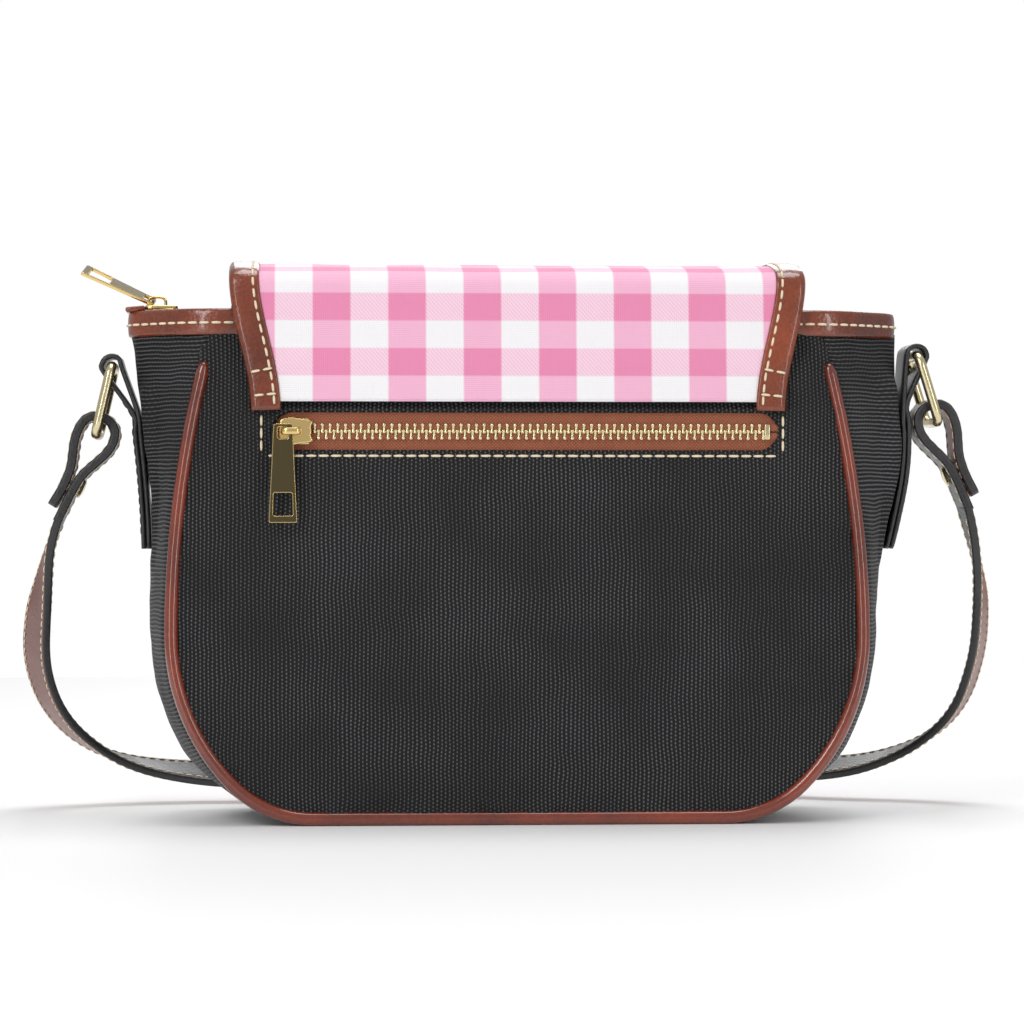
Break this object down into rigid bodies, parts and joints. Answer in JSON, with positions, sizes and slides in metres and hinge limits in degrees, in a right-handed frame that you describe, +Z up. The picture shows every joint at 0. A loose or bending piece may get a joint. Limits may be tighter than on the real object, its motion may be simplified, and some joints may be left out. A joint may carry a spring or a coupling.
{
  "type": "crossbody purse",
  "caption": "Soft saddle-shaped purse with a folding checked flap, zipped mouth and back pocket, side rings and a buckled shoulder strap.",
  "frame": {"origin": "middle of the flat bottom, on the surface the bag stands on", "axes": "+X along the bag to the right seen from the back panel, +Y out of the front under the flap, +Z up"},
  "size_m": [0.3234, 0.1627, 0.184],
  "materials": {
    "black_fabric": "ribbed black woven cloth",
    "lining_cloth": "plain cotton lining",
    "brown_leather": "polished brown leather with cream stitching",
    "piping_leather": "glossy red-brown leather cord",
    "black_leather": "black leather, painted edges",
    "strap_leather": "brown leather outside, black leather inside",
    "gingham": "pink and white checked cotton",
    "zip_tape": "brown woven tape",
    "gold": "polished pale gold",
    "stiffener": "fibreboard"
  },
  "bodies": {
    "bag_body": {"back_panel": "black_fabric", "front_panel": "black_fabric", "gusset_left": "black_fabric", "gusset_right": "black_fabric", "bottom_panel": "black_fabric", "base_board": "stiffener", "piping_back": "piping_leather", "piping_front": "piping_leather", "rim_binding": "brown_leather", "lining": "lining_cloth", "pocket_tape_upper": "zip_tape", "pocket_tape_lower": "zip_tape", "pocket_teeth_upper": "gold", "pocket_teeth_lower": "gold", "pocket_stop": "gold", "pocket_pouch": "lining_cloth", "mouth_end_left": "zip_tape", "mouth_end_right": "zip_tape", "end_teeth_left": "gold", "end_teeth_right": "gold", "zip_end_tab": "zip_tape", "flap_anchor_cloth": "gingham", "flap_anchor_binding_left": "brown_leather", "flap_anchor_binding_right": "brown_leather", "snap_socket": "gold", "snap_washer": "gold", "tab_left": "black_leather", "tab_right": "black_leather", "strap_long": "strap_leather", "strap_short": "strap_leather", "buckle_frame": "gold", "keeper_fixed": "strap_leather"},
    "flap_top": {"flap_top_cloth": "gingham", "flap_top_lining": "lining_cloth", "flap_top_binding_left": "brown_leather", "flap_top_binding_right": "brown_leather"},
    "flap_front": {"flap_front_cloth": "gingham", "flap_front_lining": "lining_cloth", "flap_front_binding": "brown_leather", "snap_stud": "gold"},
    "mouth_back": {"mouth_facing_back": "brown_leather", "main_tape_back": "zip_tape", "main_teeth_back": "gold"},
    "mouth_front": {"mouth_facing_front": "brown_leather", "main_tape_front": "zip_tape", "main_teeth_front": "gold"},
    "main_slider": {"main_slider": "gold"},
    "main_puller": {"main_puller": "gold"},
    "pocket_slider": {"pocket_slider": "gold"},
    "pocket_puller": {"pocket_puller": "gold"},
    "ring_left": {"ring_left": "gold", "strap_end_left": "strap_leather", "strap_rivet_left": "gold"},
    "ring_right": {"ring_right": "gold", "strap_end_right": "strap_leather", "strap_rivet_right": "gold"},
    "buckle_prong": {"buckle_prong": "gold"},
    "keeper_sliding": {"keeper_sliding": "strap_leather"}
  },
  "joints": [
    {"name": "flap_fold_back", "type": "hinge", "parent": "bag_body", "child": "flap_top", "pos_m": [0, -0.025, 0.1755], "axis": [1, 0, 0], "range_deg": [0, 100]},
    {"name": "flap_fold_front", "type": "hinge", "parent": "flap_top", "child": "flap_front", "pos_m": [0, 0.0255, 0.174], "axis": [1, 0, 0], "range_deg": [0, 100]},
    {"name": "mouth_back_open", "type": "hinge", "parent": "bag_body", "child": "mouth_back", "pos_m": [0, -0.019, 0.1648], "axis": [-1, 0, 0], "range_deg": [0, 80]},
    {"name": "mouth_front_open", "type": "hinge", "parent": "bag_body", "child": "mouth_front", "pos_m": [0, 0.019, 0.1648], "axis": [1, 0, 0], "range_deg": [0, 80]},
    {"name": "main_zip", "type": "slide", "parent": "bag_body", "child": "main_slider", "axis": [1, 0, 0], "range_m": [0, 0.2]},
    {"name": "main_puller_swing", "type": "hinge", "parent": "main_slider", "child": "main_puller", "pos_m": [-0.1181, 0, 0.16865], "axis": [0, 1, 0], "range_deg": [-20, 90]},
    {"name": "pocket_zip", "type": "slide", "parent": "bag_body", "child": "pocket_slider", "axis": [1, 0, 0], "range_m": [0, 0.145]},
    {"name": "pocket_puller_swing", "type": "hinge", "parent": "pocket_slider", "child": "pocket_puller", "pos_m": [-0.0757, -0.0326, 0.1258], "axis": [0, 1, 0], "range_deg": [-30, 75]},
    {"name": "ring_left_swing", "type": "hinge", "parent": "bag_body", "child": "ring_left", "pos_m": [-0.1312, 0, 0.1474], "axis": [0, 1, 0], "range_deg": [-8, 40]},
    {"name": "ring_right_swing", "type": "hinge", "parent": "bag_body", "child": "ring_right", "pos_m": [0.1326, 0, 0.1514], "axis": [0, -1, 0], "range_deg": [-2, 40]},
    {"name": "prong_lift", "type": "hinge", "parent": "bag_body", "child": "buckle_prong", "pos_m": [-0.0129, 0.1217, 0.0112], "axis": [0, 0, 1], "range_deg": [0, 40]},
    {"name": "keeper_slide", "type": "slide", "parent": "bag_body", "child": "keeper_sliding", "axis": [1, 0, 0], "range_m": [-0.007, 0.005]}
  ],
  "couplings": [
    {"joint": "flap_fold_front", "follows": "flap_fold_back", "ratio": 1}
  ]
}
